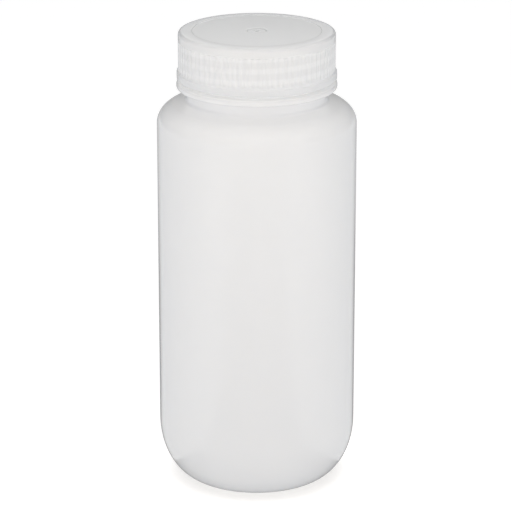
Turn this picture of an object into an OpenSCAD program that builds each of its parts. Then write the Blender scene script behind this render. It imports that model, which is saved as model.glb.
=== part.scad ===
// Wide-mouth reagent bottle with a ribbed screw cap.
// Three pieces: the moulded bottle, a sealing disc held loose in the cap, and the cap.
// The origin is the centre of the foot, on the surface that the bottle stands on.
// +Z runs up the bottle. Lengths are in millimetres.

/* [Body] */
// Outside diameter of the straight body
body_d = 73; // [66:0.5:95]
// Height at which the straight side ends and the shoulder begins
shoulder_z = 136.8; // [90:0.2:190]
// Wall thickness of the body and the shoulder
wall = 1.4; // [0.8:0.1:2.4]
// Thickness of the floor
floor_t = 1.6; // [1:0.1:3]
// Horizontal size of the rounded heel
heel_w = 14.4; // [6:0.2:18]
// Vertical size of the rounded heel
heel_h = 22.1; // [6:0.1:28]
// Width of the flat ring that the bottle stands on
foot_w = 5; // [2:0.5:8]
// Height of the hollow inside the foot ring
push_up = 2; // [0.5:0.1:4]

/* [Shoulder and neck] */
// Horizontal size of the shoulder's rounding
shoulder_w = 10.1; // [7:0.1:11]
// Vertical size of the shoulder's rounding
shoulder_h = 8; // [6:0.1:12]
// Angle that the rounding turns through before it slopes to the neck, in degrees
shoulder_turn = 65; // [45:1:75]
// Height of the neck's root above the start of the shoulder
shoulder_rise = 8.6; // [8:0.1:14]
// Distance that the neck below the collar stands out from the finish
neck_out = 0.45; // [0.1:0.05:1.5]
// Rounding where the shoulder meets the neck
neck_fillet = 1.2; // [0.4:0.1:2]
// Height of the plain neck below the collar
neck_h = 4.6; // [2:0.1:9]
// Distance that the collar stands out from the neck
collar_out = 3.7; // [2:0.1:5]
// Thickness of the collar
collar_t = 2.2; // [1.4:0.1:4]
// Rounding of the collar's edges
collar_round = 0.9; // [0.3:0.1:1.4]

/* [Threaded finish] */
// Diameter over the threads
thread_d = 52.6; // [40:0.1:64]
// Height of the thread above the finish
thread_depth = 1.15; // [0.8:0.05:1.3]
// Wall thickness of the finish between the threads
finish_wall = 1.75; // [1.2:0.05:3]
// Rise of the thread in one turn
pitch = 4.233; // [3.4:0.001:5.2]
// Length of the bottle's thread, in turns
thread_turns = 2.33; // [1.25:0.01:3.5]
// Direction in which the bottle's thread starts, in degrees
thread_start = 105; // [0:5:355]
// Height of the thread's start above the collar
thread_lead = 4.45; // [3.2:0.05:7]
// Width of the thread where it leaves the finish
thread_root_w = 2.4; // [1.6:0.05:2.6]
// Width of the thread's crest
thread_crest_w = 1.2; // [0.6:0.05:1.5]
// Plain height between the end of the thread and the lip
lip_land = 1.7; // [1.4:0.05:4]
// Rounding of the lip
lip_round = 0.4; // [0.1:0.05:0.6]

/* [Cap] */
// Wall thickness of the cap's side at the bottom of the grooves
cap_wall = 1.65; // [1.1:0.05:2.5]
// Thickness of the cap's top
cap_top_t = 1.7; // [1.2:0.1:3]
// Rounding of the cap's upper edge
cap_round = 1.4; // [0.5:0.1:2]
// Gap between the closed cap and the collar
cap_gap = 1.4; // [0.4:0.1:2]
// Number of grip ribs
rib_count = 75; // [36:1:96]
// Depth of the grooves between the ribs
rib_depth = 0.3; // [0.2:0.05:0.8]
// Width of a rib at its root
rib_root_w = 1.6; // [0.6:0.05:1.8]
// Width of a rib at its crest
rib_crest_w = 0.6; // [0.3:0.05:0.8]
// Plain height between the grip ribs and the cap's top
rib_end = 3.4; // [2.2:0.1:5]
// Distance that the plain band at the cap's lower edge stands out from the ribs
band_out = 0.55; // [0.3:0.05:1.5]
// Height of the plain band
band_h = 2.5; // [1:0.1:5]
// Height of the slope between the band and the cap's side
flare_h = 0.8; // [0.3:0.1:1.5]
// Width of the raised rim around the cap's top
rim_w = 5; // [3:0.1:8]
// Height of the raised rim
rim_h = 0.2; // [0.1:0.05:0.6]
// Diameter of the moulding gate's dimple in the cap's top
gate_d = 6.4; // [4:0.1:10]
// Depth of the dimple
gate_depth = 0.4; // [0.2:0.05:0.6]
// Diameter of the gate mark in the middle of the dimple
nub_d = 1.3; // [0.8:0.1:2.5]
// Length of the cap's thread, in turns
cap_thread_turns = 1.6; // [1:0.05:1.7]

/* [Sealing disc] */
// Thickness of the disc
disc_t = 1; // [0.6:0.1:2]
// Chamfer on the disc's edges
disc_chamfer = 0.2; // [0.05:0.05:0.3]
// Distance that the bead which keeps the disc in the cap reaches in past the disc's edge
bead_grip = 0.4; // [0.2:0.05:0.5]
// Height of that bead
bead_h = 0.5; // [0.3:0.05:0.8]

/* [Clearances] */
// Radial clearance between the two threads
thread_gap_r = 0.35; // [0.2:0.05:0.5]
// Clearance between the threads' flanks, along the axis
thread_gap_z = 0.3; // [0.15:0.05:0.5]
// Radial clearance of the disc inside the cap
disc_gap_r = 0.25; // [0.15:0.05:0.5]
// Clearance above and below the disc when the cap is closed
disc_gap_z = 0.05; // [0.02:0.01:0.2]
// Clearance between the disc and the top of its bead
bead_gap = 0.3; // [0.1:0.05:0.5]

/* [Hidden] */
$fn = 128;

// Radii
body_r = body_d / 2;
thread_r = thread_d / 2;
finish_r = thread_r - thread_depth;
mouth_r = finish_r - finish_wall;
neck_r = finish_r + neck_out;
collar_r = neck_r + collar_out;
bore_r = thread_r + thread_gap_r;
side_r = bore_r + cap_wall;
cap_r = side_r + rib_depth;
band_r = cap_r + band_out;
disc_r = bore_r - disc_gap_r;
heel_c = body_r - heel_w;
foot_in = heel_c - foot_w;
// The shoulder's rounding leaves room for the slope and the fillet at the neck
round_w = min(shoulder_w, (body_r - neck_r - neck_fillet - 0.5) / (1 - cos(shoulder_turn)));

// Heights
neck_z = shoulder_z + shoulder_rise;
collar_z = neck_z + neck_h;
collar_top = collar_z + collar_t;
thread_z = collar_top + thread_lead;
lip_z = thread_z + pitch * thread_turns + lip_land;
disc_z = lip_z + disc_gap_z;
ceiling_z = disc_z + disc_t + disc_gap_z;
cap_top = ceiling_z + cap_top_t;
cap_z = collar_top + cap_gap;
rib_z = cap_z + band_h + flare_h / 4;
rib_top = cap_top - rib_end;

// How far a thread's root is sunk into the wall that carries it
thread_sink = 0.3;
// Angle over which a thread runs out at each end, and the angle between its sections
thread_fade = 22.5;
thread_step = 7.5;
// Slope of a thread's flanks: width lost on each side for each millimetre of depth
flank = (thread_root_w - thread_crest_w) / 2 / (thread_r - finish_r);

// Half the width of the bottle's thread, and of the cap's thread between its turns, at radius r
function outer_half(r) = thread_root_w / 2 - (r - finish_r) * flank;
function inner_half(r) = pitch / 2 - outer_half(r) - thread_gap_z;

function unit(v) = v / norm(v);

// Points that round the corner at c between a and b, starting d away from it on each side
function bend(a, c, b, d, n = 5) =
    let (p = c + unit(a - c) * d, q = c + unit(b - c) * d)
    [for (i = [0:n]) let (t = i / n) (1 - t) * (1 - t) * p + 2 * t * (1 - t) * c + t * t * q];

// Points on an ellipse about (x, z) from angle a0 to a1
function arc(x, z, rx, rz, a0, a1, n) =
    [for (i = [0:n]) let (a = a0 + (a1 - a0) * i / n) [x + rx * cos(a), z + rz * sin(a)]];

// Points of the shallow dome over the hollow of the foot, from the axis outwards
function dome(lift) = [for (i = [0:9]) [foot_in * i / 9, lift + push_up * (1 - i * i / 81)]];

// A ridge that winds round the Z axis: r0 is the radius of its root and r1 of its crest,
// h0 and h1 are its half-widths there. It starts at height z0 in direction a0.
module ridge(r0, r1, h0, h1, z0, a0, turns) {
    n = ceil(turns * 360 / thread_step);
    section = [for (i = [0:n])
        let (
            a = a0 + turns * 360 * i / n,
            z = z0 + pitch * turns * i / n,
            edge = min(i, n - i) * turns * 360 / n,
            s = max(0.1, min(1, edge / thread_fade)),
            r = r0 + (r1 - r0) * s,
            h = h0 + (h1 - h0) * s
        )
        each [
            [r0 * cos(a), r0 * sin(a), z - h0],
            [r0 * cos(a), r0 * sin(a), z + h0],
            [r * cos(a), r * sin(a), z + h],
            [r * cos(a), r * sin(a), z - h]
        ]
    ];
    sides = [for (i = [0:n - 1], k = [0:3])
        let (p = 4 * i + k, q = 4 * i + (k + 1) % 4)
        each [[p, q + 4, q], [p, p + 4, q + 4]]
    ];
    ends = [[0, 2, 3], [0, 1, 2], [4 * n, 4 * n + 2, 4 * n + 1], [4 * n, 4 * n + 3, 4 * n + 2]];
    all_faces = concat(sides, ends);
    outward = r1 > r0 ? all_faces : [for (f = all_faces) [f[2], f[1], f[0]]];
    polyhedron(section, outward, convexity = 6);
}

// The outline of half the bottle: the outside from the axis up to the lip, then the inside
function bottle_outline() =
    let (
        top_out = [body_r - round_w + round_w * cos(shoulder_turn),
                   shoulder_z + shoulder_h * sin(shoulder_turn)],
        top_in = [body_r - round_w + (round_w - wall) * cos(shoulder_turn),
                  shoulder_z + (shoulder_h - wall) * sin(shoulder_turn)],
        slope = (neck_z - top_out[1]) / (top_out[0] - neck_r),
        neck_in = [mouth_r, top_in[1] + (top_in[0] - mouth_r) * slope],
        root = [neck_r, neck_z],
        under = [collar_r, collar_z],
        over = [collar_r, collar_top],
        lip_out = [finish_r, lip_z],
        lip_in = [mouth_r, lip_z]
    )
    concat(
        dome(0),
        arc(heel_c, heel_h, heel_w, heel_h, -90, 0, 20),
        arc(body_r - round_w, shoulder_z, round_w, shoulder_h, 0, shoulder_turn, 14),
        bend(top_out, root, [neck_r, collar_z], neck_fillet),
        [[neck_r, collar_z]],
        bend([neck_r, collar_z], under, over, collar_round),
        bend(under, over, [finish_r, collar_top], collar_round),
        [[finish_r, collar_top]],
        bend([finish_r, collar_top], lip_out, lip_in, lip_round),
        bend(lip_out, lip_in, neck_in, lip_round),
        [neck_in],
        arc(body_r - round_w, shoulder_z, round_w - wall, shoulder_h - wall,
            shoulder_turn, 0, 14),
        arc(heel_c, heel_h, heel_w - wall, heel_h - floor_t, 0, -90, 20),
        [for (p = dome(floor_t)) [foot_in - p[0], floor_t + push_up * (1 - pow(1 - p[0] / foot_in, 2))]]
    );

// The bottle: one hollow moulding with its collar and its outer thread
module bottle() {
    color([0.88, 0.88, 0.87])
    union() {
        rotate_extrude() polygon(bottle_outline());
        ridge(
            finish_r - thread_sink, thread_r,
            outer_half(finish_r - thread_sink), outer_half(thread_r),
            thread_z, thread_start, thread_turns
        );
    }
}

// The sealing disc: a flat disc between the lip and the cap's ceiling
module sealing_disc() {
    color([0.95, 0.95, 0.93])
    rotate_extrude() polygon([
        [0, disc_z],
        [disc_r - disc_chamfer, disc_z],
        [disc_r, disc_z + disc_chamfer],
        [disc_r, disc_z + disc_t - disc_chamfer],
        [disc_r - disc_chamfer, disc_z + disc_t],
        [0, disc_z + disc_t]
    ]);
}

// The cap's shell, without its ribs and thread
module cap_shell() {
    face_z = cap_top - rim_h;
    bead_r = disc_r - bead_grip;
    bead_top = disc_z - bead_gap;
    edge = [cap_r, cap_top];
    rotate_extrude() polygon(concat(
        [
            [bore_r + 0.4, cap_z],
            [band_r - 0.3, cap_z],
            [band_r, cap_z + 0.3],
            [band_r, cap_z + band_h],
            [side_r, cap_z + band_h + flare_h],
            [side_r, rib_top - rib_depth],
            [cap_r, rib_top]
        ],
        bend([cap_r, rib_top], edge, [0, cap_top], cap_round),
        [
            [cap_r - rim_w, cap_top],
            [cap_r - rim_w - rim_h, face_z],
            [gate_d / 2 + gate_depth, face_z],
            [gate_d / 2, face_z - gate_depth],
            [nub_d / 2, face_z - gate_depth],
            [nub_d / 2, face_z - gate_depth / 3],
            [0, face_z - gate_depth / 3],
            [0, ceiling_z],
            [bore_r, ceiling_z],
            [bore_r, bead_top],
            [bead_r, bead_top - bead_h / 2],
            [bore_r, bead_top - bead_h],
            [bore_r, cap_z + 0.4]
        ]
    ));
}

// The grip ribs, from the band up into the plain ring above them
module ribs() {
    crest = cap_r - 0.02;
    sunk = side_r - 0.02;
    half_root = asin(rib_root_w / 2 / side_r);
    half_crest = asin(rib_crest_w / 2 / cap_r);
    translate([0, 0, rib_z]) linear_extrude(rib_top + 0.2 - rib_z) difference() {
        polygon([for (i = [0:rib_count - 1]) let (a = 360 * i / rib_count) each [
            sunk * [cos(a - half_root), sin(a - half_root)],
            crest * [cos(a - half_crest), sin(a - half_crest)],
            crest * [cos(a + half_crest), sin(a + half_crest)],
            sunk * [cos(a + half_root), sin(a + half_root)]
        ]]);
        circle(side_r - 0.4);
    }
}

// The screw cap: shell, grip ribs and inner thread, half a turn behind the bottle's thread
module screw_cap() {
    color([0.91, 0.91, 0.90])
    union() {
        cap_shell();
        ribs();
        ridge(
            bore_r + thread_sink, finish_r + thread_gap_r,
            inner_half(bore_r + thread_sink), inner_half(finish_r + thread_gap_r),
            thread_z, thread_start + 180, cap_thread_turns
        );
    }
}

bottle();
sealing_disc();
screw_cap();
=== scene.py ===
# %% [markdown]
# # A wide-mouth reagent bottle
# The bottle is blow-moulded from natural polypropylene: a milky plastic that lets light
# through but shows no clear picture of what is behind it. It has three pieces. They are the
# bottle, the screw cap and a sealing disc that lies loose in the cap.
#
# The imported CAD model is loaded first. It fixes the sizes, and the bodies that the looks
# ride on. Every piece below is built around it, in metres, in the same frame.

# %% Load the frame
import math

import bmesh
import bpy
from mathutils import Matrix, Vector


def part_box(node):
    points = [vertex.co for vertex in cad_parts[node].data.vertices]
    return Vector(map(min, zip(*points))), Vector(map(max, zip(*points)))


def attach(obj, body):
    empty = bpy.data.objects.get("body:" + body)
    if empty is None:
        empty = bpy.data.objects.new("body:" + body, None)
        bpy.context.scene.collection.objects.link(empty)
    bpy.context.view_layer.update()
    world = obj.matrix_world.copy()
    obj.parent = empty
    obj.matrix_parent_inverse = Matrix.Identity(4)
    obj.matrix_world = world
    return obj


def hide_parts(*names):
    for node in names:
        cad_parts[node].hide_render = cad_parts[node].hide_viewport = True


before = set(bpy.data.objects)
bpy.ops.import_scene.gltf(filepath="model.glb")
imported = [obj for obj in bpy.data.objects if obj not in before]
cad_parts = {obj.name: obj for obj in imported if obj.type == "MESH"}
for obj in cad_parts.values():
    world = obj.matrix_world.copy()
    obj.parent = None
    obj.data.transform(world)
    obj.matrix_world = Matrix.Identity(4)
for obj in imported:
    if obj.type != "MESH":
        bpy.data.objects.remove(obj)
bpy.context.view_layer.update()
MM = 0.001

# %% [markdown]
# ## Sizes
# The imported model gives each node's box, so heights are measured from those boxes. The few
# sizes that a box can't show, such as the wall and the thread, are the CAD model's own.

# %% Read the heights and radii from the frame
_, bottle_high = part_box("bottle")
cap_low, cap_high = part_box("screw_cap")
disc_low, disc_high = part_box("sealing_disc")

BODY_R = bottle_high.x
LIP_Z = bottle_high.z
CAP_Z, CAP_TOP = cap_low.z, cap_high.z
BAND_R = cap_high.x
DISC_Z, DISC_TOP, DISC_R = disc_low.z, disc_high.z, disc_high.x
print(f"body radius {BODY_R / MM:.2f} mm, lip at {LIP_Z / MM:.2f} mm")
print(f"cap from {CAP_Z / MM:.2f} to {CAP_TOP / MM:.2f} mm, band radius {BAND_R / MM:.2f} mm")

# %% [markdown]
# These sizes stay inside a box: walls, roundings, the neck, the ribs and both threads. A
# thread is a height to start at, a pitch, a number of turns, and the half width of its ridge
# at the root and at the crest.

# %% Sizes that the boxes do not show
WALL = 1.4 * MM
FLOOR_T = 1.6 * MM
HEEL_W, HEEL_H = 14.4 * MM, 22.1 * MM
FOOT_W = 5.0 * MM
PUSH_UP = 2.0 * MM
SHOULDER_Z = 136.8 * MM
SHOULDER_W, SHOULDER_H, SHOULDER_TURN = 10.1 * MM, 8.0 * MM, 65.0
NECK_R, NECK_Z, NECK_FILLET = 25.6 * MM, 145.4 * MM, 1.2 * MM
COLLAR_R, COLLAR_Z, COLLAR_TOP, COLLAR_ROUND = 29.3 * MM, 150.0 * MM, 152.2 * MM, 0.9 * MM
FINISH_R, THREAD_R, MOUTH_R = 25.15 * MM, 26.3 * MM, 23.4 * MM
LIP_ROUND = 0.4 * MM
PITCH = 4.233 * MM
THREAD_LEAD = 4.45 * MM
THREAD_Z = COLLAR_TOP + THREAD_LEAD
THREAD_TURNS, THREAD_START = 2.33, 105.0
ROOT_HALF, CREST_HALF = 1.2 * MM, 0.6 * MM
CAP_R, RIB_DEPTH, RIB_COUNT = 28.6 * MM, 0.3 * MM, 75
THREAD_GAP = 0.35 * MM
BORE_R = THREAD_R + THREAD_GAP
CAP_CREST_R = FINISH_R + THREAD_GAP
CEILING_T = 1.7 * MM
CEILING_Z = CAP_TOP - CEILING_T
CAP_THREAD_TURNS = 1.6
print(f"thread starts at {THREAD_Z / MM:.2f} mm and climbs {PITCH / MM:.3f} mm a turn")

# %% [markdown]
# ## Outlines
# Each piece is a turned shape, so it starts as the outline of half its section, drawn as
# points (radius, height). Corners are rounded with a short Bezier bend, because a moulded
# part has no knife edges and a rounded edge is what catches the light.

# %% Helpers for outlines
def bend(a, c, b, d, n=6):
    """Points that round the corner c between a and b, starting d away from it."""
    def along(p):
        gap = math.dist(p, c)
        return [c[i] + (p[i] - c[i]) * d / gap for i in (0, 1)]

    p, q, points = along(a), along(b), []
    for i in range(n + 1):
        t = i / n
        points.append(tuple((1 - t) ** 2 * p[k] + 2 * t * (1 - t) * c[k] + t * t * q[k]
                            for k in (0, 1)))
    return points


def arc(x, z, rx, rz, start, end, n):
    """Points on an ellipse about (x, z), from one angle to the other in degrees."""
    turns = [math.radians(start + (end - start) * i / n) for i in range(n + 1)]
    return [(x + rx * math.cos(t), z + rz * math.sin(t)) for t in turns]


def line(a, b, step):
    """Points from a to b, about one step apart, with both ends."""
    n = max(1, round(math.dist(a, b) / step))
    return [tuple(a[k] + (b[k] - a[k]) * i / n for k in (0, 1)) for i in range(n + 1)]


PLAIN, RIBBED, THREADED = 0.0, 1.0, 2.0


def mark(points, wall=PLAIN):
    """The same points, each with a number that says which pattern its wall carries."""
    return [(r, z, wall) for r, z in points]


def tidy(outline, least=1e-6):
    """Drops points that repeat the one before."""
    kept = [outline[0]]
    for p in outline[1:]:
        if math.dist(p[:2], kept[-1][:2]) > least:
            kept.append(p)
    return kept


print("points in a rounded corner:", len(bend((0, 0), (1, 0), (1, 1), 0.5)))

# %% [markdown]
# ## The bottle's outline
# The outline runs up the outside from the middle of the foot to the lip, and back down the
# inside. The bottle is one hollow shell, so both of its faces belong to the same outline.
# Rows of points are closer together where the thread will rise from the wall.

# %% Draw the bottle's outline
HEEL_C = BODY_R - HEEL_W
FOOT_IN = HEEL_C - FOOT_W
ROUND_C = BODY_R - SHOULDER_W
THREAD_ROW, SIDE_ROW, INNER_ROW, MOUTH_ROW = 0.22 * MM, 12 * MM, 24 * MM, 4 * MM
UNDER_COLLAR, OVER_COLLAR, INNER_NECK = 0.5 * MM, 0.3 * MM, 1.5 * MM
THREAD_FREE = 0.4 * MM


def dome(lift, n=10):
    """The shallow dome in the middle of the base, from the axis outwards."""
    return [(FOOT_IN * i / n, lift + PUSH_UP * (1 - (i / n) ** 2)) for i in range(n + 1)]


def bottle_outline():
    """The bottle's outline: up the outside, over the lip and down the inside."""
    turn = math.radians(SHOULDER_TURN)
    top_out = (ROUND_C + SHOULDER_W * math.cos(turn), SHOULDER_Z + SHOULDER_H * math.sin(turn))
    top_in = (ROUND_C + (SHOULDER_W - WALL) * math.cos(turn),
              SHOULDER_Z + (SHOULDER_H - WALL) * math.sin(turn))
    slope = (NECK_Z - top_out[1]) / (top_out[0] - NECK_R)
    neck_in = (MOUTH_R, top_in[1] + (top_in[0] - MOUTH_R) * slope)
    neck_low, neck_high = (NECK_R, NECK_Z), (NECK_R, COLLAR_Z)
    under, over = (COLLAR_R, COLLAR_Z), (COLLAR_R, COLLAR_TOP)
    seat, lip_out, lip_in = (FINISH_R, COLLAR_TOP), (FINISH_R, LIP_Z), (MOUTH_R, LIP_Z)
    outside = (
        dome(0)
        + arc(HEEL_C, HEEL_H, HEEL_W, HEEL_H, -90, 0, 30)
        + line((BODY_R, HEEL_H), (BODY_R, SHOULDER_Z), SIDE_ROW)
        + arc(ROUND_C, SHOULDER_Z, SHOULDER_W, SHOULDER_H, 0, SHOULDER_TURN, 18)
        + bend(top_out, neck_low, neck_high, NECK_FILLET)
        + bend(neck_low, neck_high, under, UNDER_COLLAR)
        + bend(neck_high, under, over, COLLAR_ROUND)
        + bend(under, over, seat, COLLAR_ROUND)
        + bend(over, seat, lip_out, OVER_COLLAR)
    )
    finish = line((FINISH_R, COLLAR_TOP + THREAD_FREE), (FINISH_R, LIP_Z - LIP_ROUND), THREAD_ROW)
    inside = (
        bend(seat, lip_out, lip_in, LIP_ROUND)
        + bend(lip_out, lip_in, neck_in, LIP_ROUND)
        + line((MOUTH_R, LIP_Z - 1 * MM), (MOUTH_R, neck_in[1] + 2 * MM), MOUTH_ROW)
        + bend(lip_in, neck_in, top_in, INNER_NECK)
        + arc(ROUND_C, SHOULDER_Z, SHOULDER_W - WALL, SHOULDER_H - WALL, SHOULDER_TURN, 0, 14)
        + line((BODY_R - WALL, SHOULDER_Z), (BODY_R - WALL, HEEL_H), INNER_ROW)
        + arc(HEEL_C, HEEL_H, HEEL_W - WALL, HEEL_H - FLOOR_T, 0, -90, 24)
        + dome(FLOOR_T)[::-1]
    )
    return tidy(mark(outside) + mark(finish, THREADED) + mark(inside))


outline_of_bottle = bottle_outline()
print("points in the bottle's outline:", len(outline_of_bottle))

# %% [markdown]
# ## The cap's outline
# The cap's outline starts in the middle of its ceiling, goes down the bore, round the lower
# edge, up the outside and over the top. Both of its ends lie on the axis, so the turned skin
# closes there. The grip zone is drawn at the ribs' full radius, because the grooves are cut
# into it afterwards. Its rows of points lie close together where the grooves run out.
#
# The CAD model's top is flat inside its rim. Here the rim falls a little outwards and a very
# shallow dome lies inside it, so that the top mirrors a range of the room and not one spot.

# %% Draw the cap's outline
BAND_H, FLARE_H = 2.5 * MM, 0.8 * MM
RIB_LOW = CAP_Z + BAND_H + FLARE_H * (BAND_R - CAP_R) / (BAND_R - CAP_R + RIB_DEPTH)
RIB_HIGH = CAP_TOP - 3.4 * MM
CAP_ROUND, RIM_W, RIM_H = 1.4 * MM, 5.0 * MM, 0.2 * MM
RIM_FALL, DOME = 0.16 * MM, 0.17 * MM
GATE_R, GATE_DEPTH, NUB_R = 3.2 * MM, 0.4 * MM, 0.65 * MM
BEAD_R, BEAD_TOP, BEAD_H = DISC_R - 0.4 * MM, DISC_Z - 0.3 * MM, 0.5 * MM
LOWER_EDGE, BORE_EDGE, SOFT_EDGE, CRISP_EDGE = 0.35 * MM, 0.4 * MM, 0.2 * MM, 0.12 * MM
BAND_ROW, FINE_ROW, GRIP_ROW, TOP_ROW, CEILING_ROW = 0.8 * MM, 0.15 * MM, 1.2 * MM, 1.5 * MM, 6 * MM


def domed(points, reach, lift):
    """The same points, raised by a shallow dome that ends at the radius reach."""
    return [(r, z + lift * max(0, 1 - (r / reach) ** 2)) for r, z in points]


def cap_outline():
    """The cap's outline: ceiling, bore, lower edge, grip zone and top."""
    face = CAP_TOP - RIM_H
    pit, nub = face - GATE_DEPTH, face - GATE_DEPTH / 3
    rim_in = CAP_R - RIM_W
    rim_edge, rim_foot = (rim_in, CAP_TOP), (rim_in - RIM_H, face)
    pit_edge, pit_foot = (GATE_R + GATE_DEPTH, face), (GATE_R, pit)
    nub_foot, nub_edge = (NUB_R, pit), (NUB_R, nub)
    low_in, low_out = (BORE_R + BORE_EDGE, CAP_Z), (BAND_R, CAP_Z)
    band_top, corner = (BAND_R, CAP_Z + BAND_H), (CAP_R, CAP_TOP - RIM_FALL)
    flare = (CAP_R, RIB_LOW)
    skirt = (
        [low_in]
        + bend(low_in, low_out, band_top, LOWER_EDGE)
        + line((BAND_R, CAP_Z + 0.6 * MM), (BAND_R, CAP_Z + 2.2 * MM), BAND_ROW)
        + bend(low_out, band_top, flare, SOFT_EDGE)
    )
    grip = line((CAP_R, RIB_LOW), (CAP_R, RIB_LOW + 0.6 * MM), FINE_ROW)
    grip += line((CAP_R, RIB_LOW + GRIP_ROW), (CAP_R, RIB_HIGH - GRIP_ROW), GRIP_ROW)
    grip += line((CAP_R, RIB_HIGH - 0.8 * MM), (CAP_R, RIB_HIGH + 0.1 * MM), FINE_ROW)
    top = (
        [(CAP_R, RIB_HIGH + 0.8 * MM)]
        + bend(flare, corner, rim_edge, CAP_ROUND, 10)
        + bend(corner, rim_edge, rim_foot, CRISP_EDGE, 3)
        + bend(rim_edge, rim_foot, (0, face), CRISP_EDGE, 3)
        + line((rim_in - 1 * MM, face), (GATE_R + TOP_ROW, face), TOP_ROW)
        + bend((rim_in, face), pit_edge, pit_foot, SOFT_EDGE, 4)
        + bend(pit_edge, pit_foot, (0, pit), SOFT_EDGE, 4)
        + bend(pit_foot, nub_foot, nub_edge, CRISP_EDGE, 3)
        + bend(nub_foot, nub_edge, (0, nub), CRISP_EDGE, 3)
        + [(0, nub)]
    )
    under_disc = (BORE_R, BEAD_TOP - BEAD_H)
    bore_top = (
        [(0, CEILING_Z)]
        + line((0, CEILING_Z), (BORE_R - BORE_EDGE, CEILING_Z), CEILING_ROW)
        + bend((0, CEILING_Z), (BORE_R, CEILING_Z), (BORE_R, BEAD_TOP), SOFT_EDGE, 3)
        + [(BORE_R, BEAD_TOP), (BEAD_R, BEAD_TOP - BEAD_H / 2)]
    )
    bore = line(under_disc, (BORE_R, CAP_Z + BORE_EDGE), THREAD_ROW)
    return tidy(mark(bore_top) + mark(bore, THREADED) + mark(skirt)
                + mark(grip, RIBBED) + mark(domed(top, rim_in - RIM_H, DOME)))


outline_of_cap = cap_outline()
print("points in the cap's outline:", len(outline_of_cap))

# %% [markdown]
# ## Helpers for node trees
# Geometry and shader trees are joined in the same way, so both use the same few helpers. An
# input of a node takes either a fixed value or a link from another node's output.

# %% Small helpers that add and join nodes
def feed(tree, socket, value):
    """Links another node's output to this socket, or gives the socket a fixed value."""
    if isinstance(value, bpy.types.NodeSocket):
        tree.links.new(value, socket)
    else:
        socket.default_value = value


def add_node(tree, kind, inputs=(), **settings):
    """Adds a node, sets its options, and joins or fills its inputs."""
    node = tree.nodes.new(kind)
    for key, value in settings.items():
        setattr(node, key, value)
    for key, value in dict(inputs).items():
        feed(tree, node.inputs[key], value)
    return node


def add_math(tree, operation, *values):
    """Adds one sum and gives its result."""
    return add_node(tree, "ShaderNodeMath", enumerate(values), operation=operation).outputs[0]


def soft_step(tree, value, low, high, start=0.0, end=1.0):
    """A smooth step from start to end as value goes from low to high."""
    node = add_node(tree, "ShaderNodeMapRange", {
        "Value": value, "From Min": low, "From Max": high, "To Min": start, "To Max": end,
    }, interpolation_type="SMOOTHSTEP")
    return node.outputs["Result"]


class Tree:
    """A geometry node tree with short calls for what this lesson needs."""

    def __init__(self, name):
        self.tree = bpy.data.node_groups.new(name, "GeometryNodeTree")
        for side in ("INPUT", "OUTPUT"):
            self.tree.interface.new_socket("Geometry", in_out=side,
                                           socket_type="NodeSocketGeometry")
        self.start = self.tree.nodes.new("NodeGroupInput")
        self.end = self.tree.nodes.new("NodeGroupOutput")

    def ask(self, name, kind="NodeSocketFloat"):
        """Adds a named input to the tree and gives its socket."""
        self.tree.interface.new_socket(name, in_out="INPUT", socket_type=kind)
        return self.start.outputs[name]

    def node(self, kind, inputs=(), **settings):
        """Adds a node to this tree."""
        return add_node(self.tree, kind, inputs, **settings)

    def math(self, operation, *values):
        """Adds one sum to this tree."""
        return add_math(self.tree, operation, *values)

    def ramp(self, *values):
        """Adds a smooth step to this tree."""
        return soft_step(self.tree, *values)


print("helpers:", [h.__name__ for h in (feed, add_node, add_math, soft_step, Tree)])

# %% [markdown]
# ## A lathe made of nodes
# All three pieces are turned shapes, so one Geometry Nodes tree makes them. A grid is bent
# round the axis: each of its rows takes its radius and height from one point of the outline,
# and each column is one step of the turn. The rule then moves the wall in or out. Grip
# grooves repeat with the angle, and a screw thread is a ridge whose height depends on how
# far a point is from a helix. Making both as one skin leaves no hidden faces inside, which
# matters for a plastic that light enters.

# %% The lathe, first part: bend a grid round the axis
lathe = Tree("turned_skin")
columns = lathe.ask("Columns", "NodeSocketInt")
outline_in = lathe.start.outputs["Geometry"]
outline_size = lathe.node("GeometryNodeAttributeDomainSize", {"Geometry": outline_in})
across = lathe.math("ADD", columns, 1.0)
grid = lathe.node("GeometryNodeMeshGrid", {
    "Vertices X": outline_size.outputs["Point Count"], "Vertices Y": across})
index = lathe.node("GeometryNodeInputIndex").outputs[0]
row = lathe.math("FLOOR", lathe.math("DIVIDE", lathe.math("ADD", index, 0.5), across))
column = lathe.math("SUBTRACT", index, lathe.math("MULTIPLY", row, across))
outline_place = lathe.node("GeometryNodeInputPosition").outputs[0]
at_row = lathe.node("GeometryNodeSampleIndex", {
    "Geometry": outline_in, "Value": outline_place, "Index": row},
    data_type="FLOAT_VECTOR").outputs[0]
wall_name = lathe.node("GeometryNodeInputNamedAttribute", {"Name": "wall"}, data_type="FLOAT")
wall_kind = lathe.node("GeometryNodeSampleIndex", {
    "Geometry": outline_in, "Value": wall_name.outputs[0], "Index": row},
    data_type="FLOAT").outputs[0]
radius, _, height = lathe.node("ShaderNodeSeparateXYZ", {0: at_row}).outputs
turn_share = lathe.math("DIVIDE", column, columns)
angle = lathe.math("MULTIPLY", turn_share, math.tau)
print("nodes that bend the grid:", len(lathe.tree.nodes))

# %% [markdown]
# The grooves' rule: multiply the share of the turn by the number of ribs and keep what comes
# after the point, so that each rib has its own run from 0 to 1. The distance to the nearest
# rib shapes the groove, and the height keeps it inside the grip zone.

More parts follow.
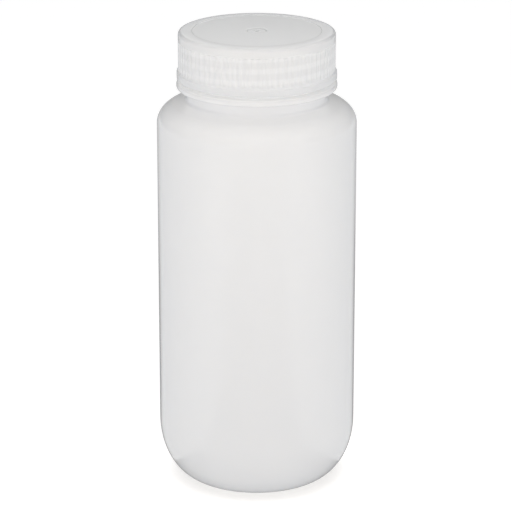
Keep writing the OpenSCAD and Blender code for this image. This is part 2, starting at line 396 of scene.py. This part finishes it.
# %% The lathe, second part: grip grooves
SAME_KIND = 0.1
FLAT_SHARE = 0.05
rib_count = lathe.ask("Rib Count", "NodeSocketInt")
groove_depth = lathe.ask("Groove Depth")
rib_low, rib_high = lathe.ask("Rib Low"), lathe.ask("Rib High")
groove_run_out = lathe.ask("Groove Run Out")
saw = lathe.math("FRACT", lathe.math("MULTIPLY", turn_share, rib_count))
to_rib = lathe.math("ABSOLUTE", lathe.math("SUBTRACT", lathe.math("MULTIPLY", saw, 2.0), 1.0))
groove = lathe.ramp(to_rib, FLAT_SHARE, 1 - FLAT_SHARE, 1.0, 0.0)
from_low = lathe.ramp(height, rib_low, lathe.math("ADD", rib_low, groove_run_out))
to_high = lathe.ramp(height, lathe.math("SUBTRACT", rib_high, groove_run_out), rib_high, 1.0, 0.0)
on_ribbed = lathe.math("COMPARE", wall_kind, RIBBED, SAME_KIND)
cut = lathe.math("MULTIPLY", lathe.math("MULTIPLY", groove, from_low),
                 lathe.math("MULTIPLY", to_high, on_ribbed))
groove_move = lathe.math("MULTIPLY", cut, lathe.math("MULTIPLY", groove_depth, -1.0))
print("nodes with the grooves:", len(lathe.tree.nodes))

# %% [markdown]
# The thread's rule: count how many turns a point is from the thread's start, using its angle
# for the part turn and its height for the whole ones. Its distance from the helix along the
# axis then says whether it is on the crest, on a flank or on the plain wall. The ridge fades
# in and out over the first and last part of a turn, as a moulded thread does.

# %% The lathe, third part: the screw thread
pitch = lathe.ask("Pitch")
thread_rise = lathe.ask("Thread Rise")
root_half, crest_half = lathe.ask("Root Half Width"), lathe.ask("Crest Half Width")
thread_low, start_turn = lathe.ask("Thread Start Height"), lathe.ask("Thread Start Turn")
turns, thread_run_out = lathe.ask("Turns"), lathe.ask("Thread Run Out")
turned = lathe.math("SUBTRACT", turn_share, start_turn)
part = lathe.math("FRACT", lathe.math("ADD", turned, 2.0))
climbed = lathe.math("DIVIDE", lathe.math("SUBTRACT", height, thread_low), pitch)
whole = lathe.math("ROUND", lathe.math("SUBTRACT", climbed, part))
wound = lathe.math("ADD", whole, part)
off_turns = lathe.math("ABSOLUTE", lathe.math("SUBTRACT", climbed, wound))
off_helix = lathe.math("MULTIPLY", off_turns, pitch)
ridge = lathe.ramp(off_helix, crest_half, root_half, 1.0, 0.0)
fade_in = lathe.ramp(wound, 0.0, thread_run_out)
fade_out = lathe.ramp(wound, lathe.math("SUBTRACT", turns, thread_run_out), turns, 1.0, 0.0)
on_thread = lathe.math("COMPARE", wall_kind, THREADED, SAME_KIND)
raised = lathe.math("MULTIPLY", lathe.math("MULTIPLY", ridge, fade_in),
                    lathe.math("MULTIPLY", fade_out, on_thread))
thread_move = lathe.math("MULTIPLY", raised, thread_rise)
print("nodes with the thread:", len(lathe.tree.nodes))

# %% [markdown]
# Both moves are added to the radius. The first and last columns now lie on each other, and so
# do the points of a row on the axis, so merging them closes the skin. Its faces are flipped
# to point outwards, and edges that bend by more than the crease angle stay sharp.

# %% The lathe, last part: place the points and close the skin
WELD_GAP = 2e-6
CREASE_ANGLE = math.radians(38)
finish_material = lathe.ask("Material", "NodeSocketMaterial")
new_radius = lathe.math("ADD", radius, lathe.math("ADD", groove_move, thread_move))
new_place = lathe.node("ShaderNodeCombineXYZ", {
    "X": lathe.math("MULTIPLY", new_radius, lathe.math("COSINE", angle)),
    "Y": lathe.math("MULTIPLY", new_radius, lathe.math("SINE", angle)),
    "Z": height,
}).outputs[0]
moved = lathe.node("GeometryNodeSetPosition", {
    "Geometry": grid.outputs["Mesh"], "Position": new_place})
joined = lathe.node("GeometryNodeMergeByDistance", {
    "Geometry": moved.outputs[0], "Distance": WELD_GAP})
flipped = lathe.node("GeometryNodeFlipFaces", {"Mesh": joined.outputs[0]})
smooth = lathe.node("GeometryNodeSetShadeSmooth", {
    "Geometry": flipped.outputs[0], "Shade Smooth": True})
bent = lathe.node("GeometryNodeInputMeshEdgeAngle").outputs["Unsigned Angle"]
sharp = lathe.math("GREATER_THAN", bent, CREASE_ANGLE)
creased = lathe.node("GeometryNodeSetShadeSmooth", {
    "Geometry": smooth.outputs[0], "Selection": sharp, "Shade Smooth": False}, domain="EDGE")
real = lathe.node("GeometryNodeRealizeInstances", {0: creased.outputs[0]})
painted = lathe.node("GeometryNodeSetMaterial", {
    "Geometry": real.outputs[0], "Material": finish_material})
lathe.tree.links.new(painted.outputs[0], lathe.end.inputs["Geometry"])
print("nodes in the lathe:", len(lathe.tree.nodes))

# %% [markdown]
# ## The moulded plastic
# Natural polypropylene is milky: light goes in, scatters, and comes out somewhere near, also
# through to the other side of a thin wall. Subsurface scattering on a closed shell does
# that. The surface is a satin one with a faint moulding grain, and the wall's thickness
# wanders a little as the hot plastic is blown, so its tone does too. That grain and that
# drift are used by every piece, so they are one node group.

# %% Small helpers for shader trees
FACTOR, TONE_A, TONE_B, MIXED = 0, 6, 7, 2


def mix_tones(tree, factor, a, b, blend="MIX"):
    """Mixes two colours. A Mix node hides sockets for other kinds of data, so its colour
    sockets are picked by number."""
    node = add_node(tree, "ShaderNodeMix", {FACTOR: factor, TONE_A: a, TONE_B: b},
                    data_type="RGBA", blend_type=blend)
    return node.outputs[MIXED]


def mix_by_ray(tree, ray, other, chosen):
    """Mixes two shaders so that rays of one kind meet the chosen one."""
    path = tree.nodes.new("ShaderNodeLightPath")
    mix = add_node(tree, "ShaderNodeMixShader", {0: path.outputs[ray], 1: other, 2: chosen})
    return mix.outputs[0]


def new_group(name, numbers, tones, results):
    """A shader group with number inputs, colour inputs and named results."""
    group = bpy.data.node_groups.new(name, "ShaderNodeTree")
    panel = group.interface
    for key, start in numbers.items():
        socket = panel.new_socket(key, in_out="INPUT", socket_type="NodeSocketFloat")
        socket.default_value = start
    for key in tones:
        panel.new_socket(key, in_out="INPUT", socket_type="NodeSocketColor")
    for key, kind in results.items():
        panel.new_socket(key, in_out="OUTPUT", socket_type=kind)
    return group


print("helpers:", [h.__name__ for h in (mix_tones, mix_by_ray, new_group)])

# %% [markdown]
# The grain group gives three results. The tone goes from low to high between two heights and
# drifts a little, the roughness drifts with it, and the height is a fine grain for bumps. The
# step between the two heights carries painted light and shade; the drift is the plastic's own.

# %% A node group for the moulded grain and the painted tone
def make_grain_and_tone_group():
    """Painted tone by height, a slow drift of tone and roughness, and a fine grain for bumps."""
    group = new_group(
        "grain_and_painted_tone",
        {"Drift Size": 18.0, "Grain Size": 900.0, "Roughness": 0.35, "Roughness Spread": 0.08,
         "Low Height": 0.0, "High Height": CAP_TOP},
        ("Low Tone", "High Tone", "Drift Tone"),
        {"Color": "NodeSocketColor", "Roughness": "NodeSocketFloat",
         "Height": "NodeSocketFloat"})
    given = group.nodes.new("NodeGroupInput").outputs
    where = group.nodes.new("ShaderNodeTexCoord").outputs["Object"]
    drift, grain = (
        add_node(group, "ShaderNodeTexNoise",
                 {"Vector": where, "Scale": given[size], "Detail": detail}).outputs["Fac"]
        for size, detail in (("Drift Size", 2.0), ("Grain Size", 3.0)))
    up = add_node(group, "ShaderNodeSeparateXYZ", {0: where}).outputs["Z"]
    climb = soft_step(group, up, given["Low Height"], given["High Height"])
    tone = mix_tones(group, climb, given["Low Tone"], given["High Tone"])
    drifted = mix_tones(group, drift, tone, given["Drift Tone"], "MULTIPLY")
    most = add_math(group, "ADD", given["Roughness"], given["Roughness Spread"])
    rough = add_node(group, "ShaderNodeMapRange",
                     {"Value": drift, "To Min": given["Roughness"], "To Max": most})
    add_node(group, "NodeGroupOutput",
             {"Color": drifted, "Roughness": rough.outputs["Result"], "Height": grain})
    return group


grain_and_painted_tone = make_grain_and_tone_group()
print("grain group sockets:", [s.name for s in grain_and_painted_tone.interface.items_tree])

# %% [markdown]
# The turns of the bottle's thread lie close behind the cap's wall and send light back out, so
# they show through it as soft light bands. These bands are painted into the cap's colour as a
# painted highlight. The second group works out where they run. It uses the same helix as the
# lathe. It gives 1 on a turn and a lower floor between turns, and it fades to 0 below the
# thread's start and above the lip.

# %% A node group for the painted light bands over the thread
def make_thread_light_group():
    """A mask of where the painted light bands go: where the bottle's thread lies behind the cap."""
    group = new_group(
        "painted_thread_light",
        {"Pitch": PITCH, "Start Height": THREAD_Z, "Start Turn": THREAD_START / 360,
         "End Height": LIP_Z, "Inner Edge": 0.10, "Outer Edge": 0.34, "Fade": 1 * MM,
         "Floor": 0.5},
        (), {"Mask": "NodeSocketFloat"})
    given = group.nodes.new("NodeGroupInput").outputs
    where = group.nodes.new("ShaderNodeTexCoord").outputs["Object"]
    x, y, z = add_node(group, "ShaderNodeSeparateXYZ", {0: where}).outputs

    def maths(operation, *values):
        return add_math(group, operation, *values)

    turn = maths("DIVIDE", maths("ARCTAN2", y, x), math.tau)
    from_start = maths("SUBTRACT", turn, given["Start Turn"])
    turns_up = maths("DIVIDE", maths("SUBTRACT", z, given["Start Height"]), given["Pitch"])
    away = maths("PINGPONG", maths("SUBTRACT", turns_up, from_start), 0.5)
    near = soft_step(group, away, given["Inner Edge"], given["Outer Edge"], 1.0, 0.0)
    between = maths("MULTIPLY", maths("SUBTRACT", 1.0, near), given["Floor"])
    below = maths("SUBTRACT", given["Start Height"], given["Fade"])
    before = maths("SUBTRACT", given["End Height"], given["Fade"])
    starts = soft_step(group, z, below, given["Start Height"])
    ends = soft_step(group, z, before, given["End Height"], 1.0, 0.0)
    band = maths("MULTIPLY", maths("ADD", near, between), starts)
    add_node(group, "NodeGroupOutput", {"Mask": maths("MULTIPLY", band, ends)})
    return group


painted_thread_light = make_thread_light_group()
print("band group sockets:", [s.name for s in painted_thread_light.interface.items_tree])

# %% [markdown]
# The camera and the gloss meet the plastic's own surface. Light on its way through is another
# matter: most of it passes the thin wall and goes on. So for shadow rays and for rays that
# have already bounced off something dull, the shader is mixed with a clear one. That lights
# the gaps and the inside as the real milky wall does.
#
# Red light travels a little farther in the plastic than blue, which the three shares of
# COLOUR_REACH say.

# %% A material for each finish
DRIFT_TONE = (0.985, 0.987, 0.99, 1)
GRAIN_DEPTH = 0.02 * MM
PLASTIC_IOR = 1.49
COLOUR_REACH = (1.0, 0.97, 0.92)


def make_plastic(name, low, high, roughness, bump, scatter, passes, change=(0.0, CAP_TOP),
                 thread_light_tone=None):
    """A milky plastic whose tone goes from low to high between the two heights of change. That
    step is not in the plastic: it is painted light on the bottle and painted shade on the cap.
    scatter is how far light travels inside it, in metres. passes is the share of the light
    that goes straight through. The tone for a thread behind the wall is a painted highlight."""
    mat = bpy.data.materials.new(name)
    mat.use_nodes = True
    tree = mat.node_tree
    shader = tree.nodes["Principled BSDF"]
    grain = add_node(tree, "ShaderNodeGroup", {
        "Low Tone": (*low, 1), "High Tone": (*high, 1), "Drift Tone": DRIFT_TONE,
        "Roughness": roughness, "Low Height": change[0], "High Height": change[1],
    }, node_tree=grain_and_painted_tone)
    tone = grain.outputs["Color"]
    # Painted highlight: lighter bands in the colour where the bottle's thread lies behind the cap.
    if thread_light_tone:
        band = add_node(tree, "ShaderNodeGroup", node_tree=painted_thread_light)
        tone = mix_tones(tree, band.outputs["Mask"], tone, (*thread_light_tone, 1))
    bumps = add_node(tree, "ShaderNodeBump", {
        "Strength": bump, "Distance": GRAIN_DEPTH, "Height": grain.outputs["Height"]})
    look = {
        "Base Color": tone, "Roughness": grain.outputs["Roughness"],
        "Normal": bumps.outputs["Normal"], "IOR": PLASTIC_IOR, "Subsurface Weight": 1.0,
        "Subsurface Radius": COLOUR_REACH, "Subsurface Scale": scatter,
    }
    for key, value in look.items():
        feed(tree, shader.inputs[key], value)
    surface = shader.outputs[0]
    clear = tree.nodes.new("ShaderNodeBsdfTransparent").outputs[0]
    partly = add_node(tree, "ShaderNodeMixShader", {0: passes, 1: surface, 2: clear}).outputs[0]
    for ray in ("Is Shadow Ray", "Is Diffuse Ray"):
        surface = mix_by_ray(tree, ray, surface, partly)
    tree.links.new(surface, tree.nodes["Material Output"].inputs["Surface"])
    return mat


BAND_TOP = CAP_Z + BAND_H
# Painted light: above the collar's top the bottle gets the lighter tone, which lights the gap under
# the cap.
milky_bottle = make_plastic(
    "milky_bottle", low=(0.66, 0.675, 0.705), high=(0.74, 0.755, 0.78), roughness=0.11,
    bump=0.10, scatter=8 * MM, passes=0.95, change=(COLLAR_TOP - 0.3 * MM, COLLAR_TOP))
# Painted shade: the cap's plain band at its foot gets the darker low tone.
milky_cap = make_plastic(
    "milky_cap", low=(0.555, 0.575, 0.61), high=(0.60, 0.62, 0.655), roughness=0.15,
    bump=0.05, scatter=16 * MM, passes=0.95, change=(BAND_TOP - 0.5 * MM, BAND_TOP + 1 * MM),
    thread_light_tone=(0.695, 0.715, 0.755))
disc_foam = make_plastic(
    "disc_foam", low=(0.88, 0.88, 0.86), high=(0.88, 0.88, 0.86), roughness=0.6,
    bump=0.4, scatter=1 * MM, passes=0.3)
print("materials:", milky_bottle.name, milky_cap.name, disc_foam.name)

# %% [markdown]
# ## Turning the pieces
# The outline becomes a mesh of points and nothing else. The lathe's inputs are set by each
# socket's identifier, the result is read back as a plain mesh, and the object that carried
# the modifier is removed. A piece without a thread or ribs gets a rise or a depth of zero.

# %% A helper that turns an outline on the lathe
NO_THREAD = {"Pitch": PITCH, "Thread Rise": 0.0, "Root Half Width": ROOT_HALF,
             "Crest Half Width": CREST_HALF, "Thread Start Height": THREAD_Z,
             "Thread Start Turn": 0.0, "Turns": 1.0, "Thread Run Out": 0.06}
NO_RIBS = {"Rib Count": RIB_COUNT, "Groove Depth": 0.0, "Rib Low": RIB_LOW,
           "Rib High": RIB_HIGH, "Groove Run Out": 0.4 * MM}


def check_skin(piece):
    """Prints the piece's triangles and volume. A negative volume would be inside out."""
    shape = bmesh.new()
    shape.from_mesh(piece.data)
    open_edges = sum(not e.is_manifold for e in shape.edges)
    volume = shape.calc_volume(signed=True) / MM ** 3
    triangles = sum(len(f.verts) - 2 for f in shape.faces)
    shape.free()
    print(f"{piece.name}: {triangles} triangles, {open_edges} open edges, {volume:.0f} mm3")


def turn_on_lathe(name, outline, material, **inputs):
    """Makes a closed skin from an outline, as a plain mesh object at the origin."""
    mesh = bpy.data.meshes.new(name + "_outline")
    mesh.from_pydata([(r, 0.0, z) for r, z, _ in outline], [], [])
    walls = mesh.attributes.new("wall", "FLOAT", "POINT")
    walls.data.foreach_set("value", [w for _, _, w in outline])
    source = bpy.data.objects.new(name + "_outline", mesh)
    bpy.context.scene.collection.objects.link(source)
    modifier = source.modifiers.new("lathe", "NODES")
    modifier.node_group = lathe.tree
    sockets = {s.name: s.identifier for s in lathe.tree.interface.items_tree
               if s.in_out == "INPUT"}
    for key, value in {**NO_THREAD, **NO_RIBS, **inputs, "Material": material}.items():
        modifier[sockets[key]] = value
    graph = bpy.context.evaluated_depsgraph_get()
    skin = bpy.data.meshes.new_from_object(source.evaluated_get(graph))
    bpy.data.objects.remove(source)
    skin.name = name
    piece = bpy.data.objects.new(name, skin)
    bpy.context.scene.collection.objects.link(piece)
    check_skin(piece)
    return piece


print("set when a piece asks for nothing else:", sorted({**NO_THREAD, **NO_RIBS}))

# %% [markdown]
# ## The bottle
# The bottle carries a right-handed thread of two and a third turns on its finish. It turns
# with nothing, because it is the body that everything else moves on.

# %% Turn the bottle
bottle_skin = turn_on_lathe(
    "bottle_skin", outline_of_bottle, milky_bottle, **{
        "Columns": 240, "Thread Rise": THREAD_R - FINISH_R,
        "Thread Start Turn": THREAD_START / 360, "Turns": THREAD_TURNS,
    })
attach(bottle_skin, "bottle")
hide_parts("bottle")

# %% [markdown]
# ## The screw cap
# The cap has grip ribs outside and a thread inside, half a turn behind the bottle's, so that
# its ridge lies between the bottle's turns. Its ridge points inwards, so its rise is negative.

# %% Turn the cap
FLANK_SLOPE = (ROOT_HALF - CREST_HALF) / (THREAD_R - FINISH_R)
FLANK_GAP = 0.3 * MM
COLUMNS_PER_RIB = 8


def half_width_of_cap_thread(r):
    """Half the room between the bottle's turns at radius r, less the clearance."""
    return PITCH / 2 - (ROOT_HALF - (r - FINISH_R) * FLANK_SLOPE) - FLANK_GAP


cap_skin = turn_on_lathe(
    "cap_skin", outline_of_cap, milky_cap, **{
        "Columns": COLUMNS_PER_RIB * RIB_COUNT, "Groove Depth": RIB_DEPTH,
        "Thread Rise": CAP_CREST_R - BORE_R,
        "Root Half Width": half_width_of_cap_thread(BORE_R),
        "Crest Half Width": half_width_of_cap_thread(CAP_CREST_R),
        "Thread Start Turn": THREAD_START / 360 + 0.5, "Turns": CAP_THREAD_TURNS,
    })
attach(cap_skin, "cap")
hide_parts("screw_cap")

# %% [markdown]
# ## The sealing disc
# The disc is a soft foam wafer. The lip presses a shallow ring into its lower face, and its
# edges are a little rounded where it was punched from a sheet.

# %% Turn the disc
DENT = 0.12 * MM
DISC_EDGE, DISC_ROW = 0.2 * MM, 6 * MM


def disc_outline():
    """The disc's outline, with the ring that the lip has pressed into it."""
    ring = (FINISH_R + MOUTH_R) / 2
    low_out, high_out = (DISC_R, DISC_Z), (DISC_R, DISC_TOP)
    pressed = [(ring + dr * MM, DISC_Z + DENT * share) for dr, share in
               ((-1.3, 0), (-1.0, 0.4), (-0.7, 1), (0.7, 1), (1.0, 0.4), (1.3, 0))]
    return tidy(mark(
        line((0, DISC_Z), (ring - 3 * MM, DISC_Z), DISC_ROW)
        + pressed
        + bend((0, DISC_Z), low_out, high_out, DISC_EDGE)
        + bend(low_out, high_out, (0, DISC_TOP), DISC_EDGE)
        + line((DISC_R - 1.5 * MM, DISC_TOP), (0, DISC_TOP), DISC_ROW)))


disc_skin = turn_on_lathe("disc_skin", disc_outline(), disc_foam, **{"Columns": 128})
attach(disc_skin, "seal")
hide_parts("sealing_disc")

# %% [markdown]
# ## Camera
# A long lens from about a metre away, looking down by some 18 degrees. The aim is half way up
# the bottle, a hair to the left of its axis.

# %% Place the camera
LENS, SENSOR = 193.4297, 36.0
DISTANCE, LOOK_DOWN = 1.0212, math.radians(18.44)
AIM_X, AIM_Z = -0.3 * MM, 85.0 * MM

camera_data = bpy.data.cameras.new("camera")
camera_data.sensor_width = SENSOR
camera_data.lens = LENS
camera_data.clip_start, camera_data.clip_end = 0.05, 50
camera = bpy.data.objects.new("camera", camera_data)
camera.location = (AIM_X, -DISTANCE * math.cos(LOOK_DOWN), AIM_Z + DISTANCE * math.sin(LOOK_DOWN))
camera.rotation_euler = (math.pi / 2 - LOOK_DOWN, 0, 0)
bpy.context.scene.collection.objects.link(camera)
bpy.context.scene.camera = camera
print(f"lens {camera_data.lens:.1f} mm, {DISTANCE:.2f} m away")

# %% [markdown]
# ## Stage and light
# The bottle stands on a white table in a dim studio. Two things decide how a pale, smooth
# object reads on white. Its dull part is lit from everywhere, so it stays nearly flat. Its
# gloss mirrors the room, and it mirrors more where the view grazes the wall, so what it
# mirrors draws the outline, the shoulder and the cap's flat top.
#
# So the world has one tone for the camera, one for dull light and one for gloss. The gloss
# meets a dim room. Low down it has a bright window straight behind the bottle and another
# straight in front, and the cap's top mirrors the one behind. It is dark beside the windows
# and lighter again overhead. The height of a direction is the sine of its angle above the
# horizon.

# %% Build the world
bpy.context.scene.view_settings.view_transform = "Standard"
BACKDROP, FILL = 1.05, 0.675
ROOM_LOW, ROOM_BRIGHT, ROOM_TOP = 0.14, 1.2, 0.5
WINDOW_IN, WINDOW_OUT = 0.07, 0.16
WINDOW_FROM, WINDOW_FULL, DARK_TO, TOP_FULL = (math.sin(math.radians(a)) for a in (7, 18, 24, 42))


def glow(tree, kind, strength):
    """A shader that gives white light."""
    return add_node(tree, kind, {"Color": (1, 1, 1, 1), "Strength": strength}).outputs[0]


world = bpy.data.worlds.new("world")
bpy.context.scene.world = world
world.use_nodes = True
sky = world.node_tree
direction = sky.nodes.new("ShaderNodeTexCoord").outputs["Generated"]
sky_x, _, sky_z = add_node(sky, "ShaderNodeSeparateXYZ", {0: direction}).outputs
window = soft_step(sky, sky_z, WINDOW_FROM, WINDOW_FULL, ROOM_LOW, ROOM_BRIGHT)
aside = add_math(sky, "ABSOLUTE", sky_x)
low_room = soft_step(sky, aside, WINDOW_IN, WINDOW_OUT, window, ROOM_LOW)
room_tone = soft_step(sky, sky_z, DARK_TO, TOP_FULL, low_room, ROOM_TOP)
fill, room, backdrop = (glow(sky, "ShaderNodeBackground", strength)
                        for strength in (FILL, room_tone, BACKDROP))
lit = mix_by_ray(sky, "Is Glossy Ray", fill, room)
lit = mix_by_ray(sky, "Is Camera Ray", lit, backdrop)
sky.links.new(lit, sky.nodes["World Output"].inputs["Surface"])
print("nodes in the world:", len(sky.nodes))

# %% [markdown]
# ## The table
# The table is wide enough to fill the view. For dull light it is plain white paint with a
# little glow, which stands for the light that a real studio sends back up. The camera sees
# it brighter, so it runs into the backdrop with no edge. A soft ring under the foot is
# painted darker for the camera: a painted contact shadow where the bottle touches the table.
#
# For gloss it has a third look. A wall that the view grazes mirrors the table behind the
# bottle, so the table is dark there and bright towards both sides. That leaves a thin dark
# line along the outline. How far a spot lies to the side is its distance from a line just
# inside the body's edge, divided by its distance in front or behind.

# %% Build the table
TABLE_HALF = 6.0
TABLE_WHITE = 0.8
TABLE_GLOW, TABLE_SHOWN = 0.21, 0.455
SHADE_NEAR, SHADE_FAR, FOOT_SHADE = 27 * MM, 37 * MM, 0.24
DIM_NEAR, DIM_FAR = 0.2, 0.45
DIM_TONE, FAR_TONE, SIDE_TONE = 0.05, 0.35, 0.75
SIDE_FROM, SIDE_TO = 0.36, 0.66
EDGE_LINE, NEVER_ZERO = 0.95 * BODY_R, 1 * MM

table_mesh = bpy.data.meshes.new("table")
corners = [(-1, -1), (1, -1), (1, 1), (-1, 1)]
table_mesh.from_pydata([(x * TABLE_HALF, y * TABLE_HALF, 0) for x, y in corners],
                       [], [(0, 1, 2, 3)])
table = bpy.data.objects.new("table", table_mesh)
bpy.context.scene.collection.objects.link(table)
table_paint = bpy.data.materials.new("table_paint")
table_paint.use_nodes = True
paint = table_paint.node_tree
dull = paint.nodes["Principled BSDF"]
dull.inputs["Base Color"].default_value = (TABLE_WHITE, TABLE_WHITE, TABLE_WHITE, 1)
dull.inputs["Roughness"].default_value = 1.0
dull.inputs["Specular IOR Level"].default_value = 0.0


def brightened(light):
    """The dull paint with some light of its own."""
    return add_node(paint, "ShaderNodeAddShader", {0: dull.outputs[0], 1: light}).outputs[0]


spot = paint.nodes.new("ShaderNodeTexCoord").outputs["Object"]
from_foot = add_node(paint, "ShaderNodeVectorMath", {0: spot}, operation="LENGTH").outputs["Value"]
# Painted contact shadow: the tone the camera sees drops in a soft ring round the foot.
shown_tone = soft_step(paint, from_foot, SHADE_NEAR, SHADE_FAR, TABLE_SHOWN - FOOT_SHADE, TABLE_SHOWN)
table_x, table_y, _ = add_node(paint, "ShaderNodeSeparateXYZ", {0: spot}).outputs
beside = add_math(paint, "SUBTRACT", add_math(paint, "ABSOLUTE", table_x), EDGE_LINE)
ahead = add_math(paint, "ADD", add_math(paint, "ABSOLUTE", table_y), NEVER_ZERO)
to_side = add_math(paint, "DIVIDE", beside, ahead)
behind_tone = soft_step(paint, from_foot, DIM_NEAR, DIM_FAR, DIM_TONE, FAR_TONE)
mirror_tone = soft_step(paint, to_side, SIDE_FROM, SIDE_TO, behind_tone, SIDE_TONE)
bounced, shown, mirrored = (glow(paint, "ShaderNodeEmission", strength)
                            for strength in (TABLE_GLOW, shown_tone, mirror_tone))
seen = mix_by_ray(paint, "Is Camera Ray", brightened(bounced), brightened(shown))
seen = mix_by_ray(paint, "Is Glossy Ray", seen, mirrored)
paint.links.new(seen, paint.nodes["Material Output"].inputs["Surface"])
table_mesh.materials.append(table_paint)
print(f"table {2 * TABLE_HALF:.0f} m wide, {len(paint.nodes)} nodes in its paint")

# %% [markdown]
# ## Soft boxes
# Three weak soft boxes shape the dull light. Two lift the sides of the body, and a small warm
# one in front lifts the cap. Gloss does not mirror them, so they leave no hot spots.

# %% Place the soft boxes
def soft_box(name, place, aim, size, power, tone=(1, 1, 1)):
    """A square area light that faces a point and that gloss doesn't mirror."""
    data = bpy.data.lights.new(name, "AREA")
    data.size, data.energy, data.color = size, power, tone
    lamp = bpy.data.objects.new(name, data)
    lamp.location = place
    way = [aim[i] - place[i] for i in range(3)]
    lamp.rotation_euler = (math.pi / 2 + math.asin(way[2] / math.hypot(*way)), 0,
                           math.atan2(way[1], way[0]) - math.pi / 2)
    lamp.visible_glossy = False
    bpy.context.scene.collection.objects.link(lamp)
    print(f"{name}: {power} W, {math.hypot(*way):.2f} m from its aim")


soft_box("left_box", place=(-0.8, 0.0, 0.10), aim=(0, 0, 0.05), size=0.4, power=0.35)
soft_box("right_box", place=(0.8, 0.0, 0.10), aim=(0, 0, 0.05), size=0.4, power=0.35)
soft_box("front_box", place=(0, -0.28, 0.24), aim=(0, 0, 0.13), size=0.12, power=0.36,
         tone=(1.0, 0.90, 0.78))
